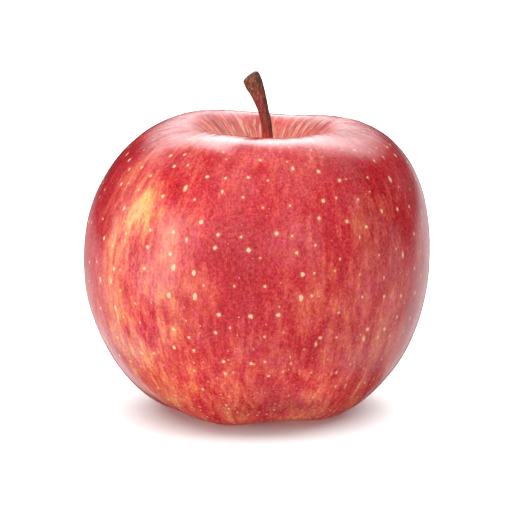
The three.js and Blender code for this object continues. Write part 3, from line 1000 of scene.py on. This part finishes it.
def make_world(settings):
    world = bpy.data.worlds.new("studio")
    bpy.context.scene.world = world
    sky = Surroundings(world)
    towards = sky.parts(sky.add("ShaderNodeTexCoord").outputs["Generated"])
    turn = sky.maths("DEGREES", sky.maths("ARCTAN2", towards[0], towards[1]))
    rise = sky.maths("DEGREES", sky.maths("ARCSINE", towards[2]))
    front = sky.scaled(sky.spread(towards[1], 0.15, -0.6), sky.spread(rise, *FRONT_RISE))
    front = sky.scaled(front, sky.scaled(towards[0], -LEFT_MORE, 1.0))
    behind = sky.spread(towards[1], -0.3, 0.5, 0.0, settings.surround)
    behind = sky.scaled(behind, sky.spread(rise, *BEHIND_RISE))
    soft = sky.stacked(behind, (front, settings.front), (sky.spread(rise, *ABOVE_RISE), settings.above))
    mirrored = sky.scaled(front, settings.front * FRONT_GLOSS, DARK_BEHIND)
    for left, right, low, high, edge, bright, lean in CARDS:
        level = sky.scaled(turn, -lean, rise)
        card = sky.scaled(sky.between(turn, left, right, edge), sky.between(level, low, high, edge))
        mirrored = sky.scaled(card, bright * settings.cards, mirrored)
    path = sky.add("ShaderNodeLightPath").outputs
    strength = sky.add("ShaderNodeMix", {0: path["Is Glossy Ray"], 2: soft, 3: mirrored}, data_type="FLOAT")
    lit = sky.add("ShaderNodeBackground", {"Color": (1, 1, 1), "Strength": strength.outputs[0]})
    seen = sky.add("ShaderNodeBackground", {"Color": (1, 1, 1), "Strength": 1.0})
    either = sky.add("ShaderNodeMixShader", {0: path["Is Camera Ray"], 1: lit.outputs[0], 2: seen.outputs[0]})
    sky.put(sky.output.inputs[0], either.outputs[0])


def make_stage(settings):
    corners = np.array([(-1, -1, 0), (1, -1, 0), (1, 1, 0), (-1, 1, 0)]) * FLOOR_REACH
    paper = Finish("floor paper")
    fibre = paper.noise(paper.place(), (2, 2, 2), detail=2)
    finish = paper.set(Base_Color=settings.floor, Roughness=paper.spread(fibre, 0.3, 0.7, 0.9, 0.95),
                       Emission_Color=(1, 1, 1), Emission_Strength=settings.floor_glow)
    floor = mesh_piece("floor", corners, [(0, 1, 2, 3)], finish)
    floor.visible_glossy = floor.visible_diffuse = floor.visible_shadow = False
    soft_light("window", *WINDOW, settings.window)
    overhead = soft_light("floor_light", *FLOOR_LAMP, settings.floor_light)
    only = bpy.data.collections.new("lit by the floor light")
    only.objects.link(floor)
    overhead.light_linking.receiver_collection = only
    make_world(settings)
    make_camera()
    bpy.context.scene.view_settings.view_transform = "Standard"


# --- Add-on ---


class APPLE_OT_fruit(bpy.types.Operator):
    """Makes the fruit with its streaked and dotted skin"""

    bl_idname = "apple.fruit"
    bl_label = "Fruit"

    def execute(self, context):
        make_fruit(context.scene.apple_fruit)
        return {"FINISHED"}


class APPLE_OT_stem(bpy.types.Operator):
    """Makes the woody stem in the fruit's cavity"""

    bl_idname = "apple.stem"
    bl_label = "Stem"

    def execute(self, context):
        make_stem(context.scene.apple_stem)
        return {"FINISHED"}


class APPLE_OT_calyx(bpy.types.Operator):
    """Makes the dried calyx under the fruit, with its sepals, stamens and down"""

    bl_idname = "apple.calyx"
    bl_label = "Calyx"

    def execute(self, context):
        make_calyx(context.scene.apple_calyx)
        return {"FINISHED"}


class APPLE_OT_stage(bpy.types.Operator):
    """Makes the floor, the lights and the camera"""

    bl_idname = "apple.stage"
    bl_label = "Stage"

    def execute(self, context):
        make_stage(context.scene.apple_stage)
        return {"FINISHED"}


class APPLE_PT_panel(bpy.types.Panel):
    bl_idname = "APPLE_PT_panel"
    bl_label = "Red apple"
    bl_space_type = "VIEW_3D"
    bl_region_type = "UI"
    bl_category = "Apple"

    def draw(self, context):
        for operator, settings in PIECES:
            box = self.layout.box()
            box.operator(operator)
            group = getattr(context.scene, settings)
            for name in group.__annotations__:
                box.prop(group, name)


PIECES = (
    ("apple.fruit", "apple_fruit"),
    ("apple.stem", "apple_stem"),
    ("apple.calyx", "apple_calyx"),
    ("apple.stage", "apple_stage"),
)
GROUPS = {
    "apple_fruit": FruitSettings,
    "apple_stem": StemSettings,
    "apple_calyx": CalyxSettings,
    "apple_stage": StageSettings,
}
CLASSES = (*GROUPS.values(), APPLE_OT_fruit, APPLE_OT_stem, APPLE_OT_calyx, APPLE_OT_stage, APPLE_PT_panel)


def register():
    for cls in CLASSES:
        bpy.utils.register_class(cls)
    for name, group in GROUPS.items():
        setattr(bpy.types.Scene, name, PointerProperty(type=group))


def unregister():
    for name in GROUPS:
        delattr(bpy.types.Scene, name)
    for cls in reversed(CLASSES):
        bpy.utils.unregister_class(cls)


def main():
    register()
    bpy.ops.apple.fruit()
    bpy.ops.apple.stem()
    bpy.ops.apple.calyx()
    bpy.ops.apple.stage()


if __name__ == "__main__":
    main()
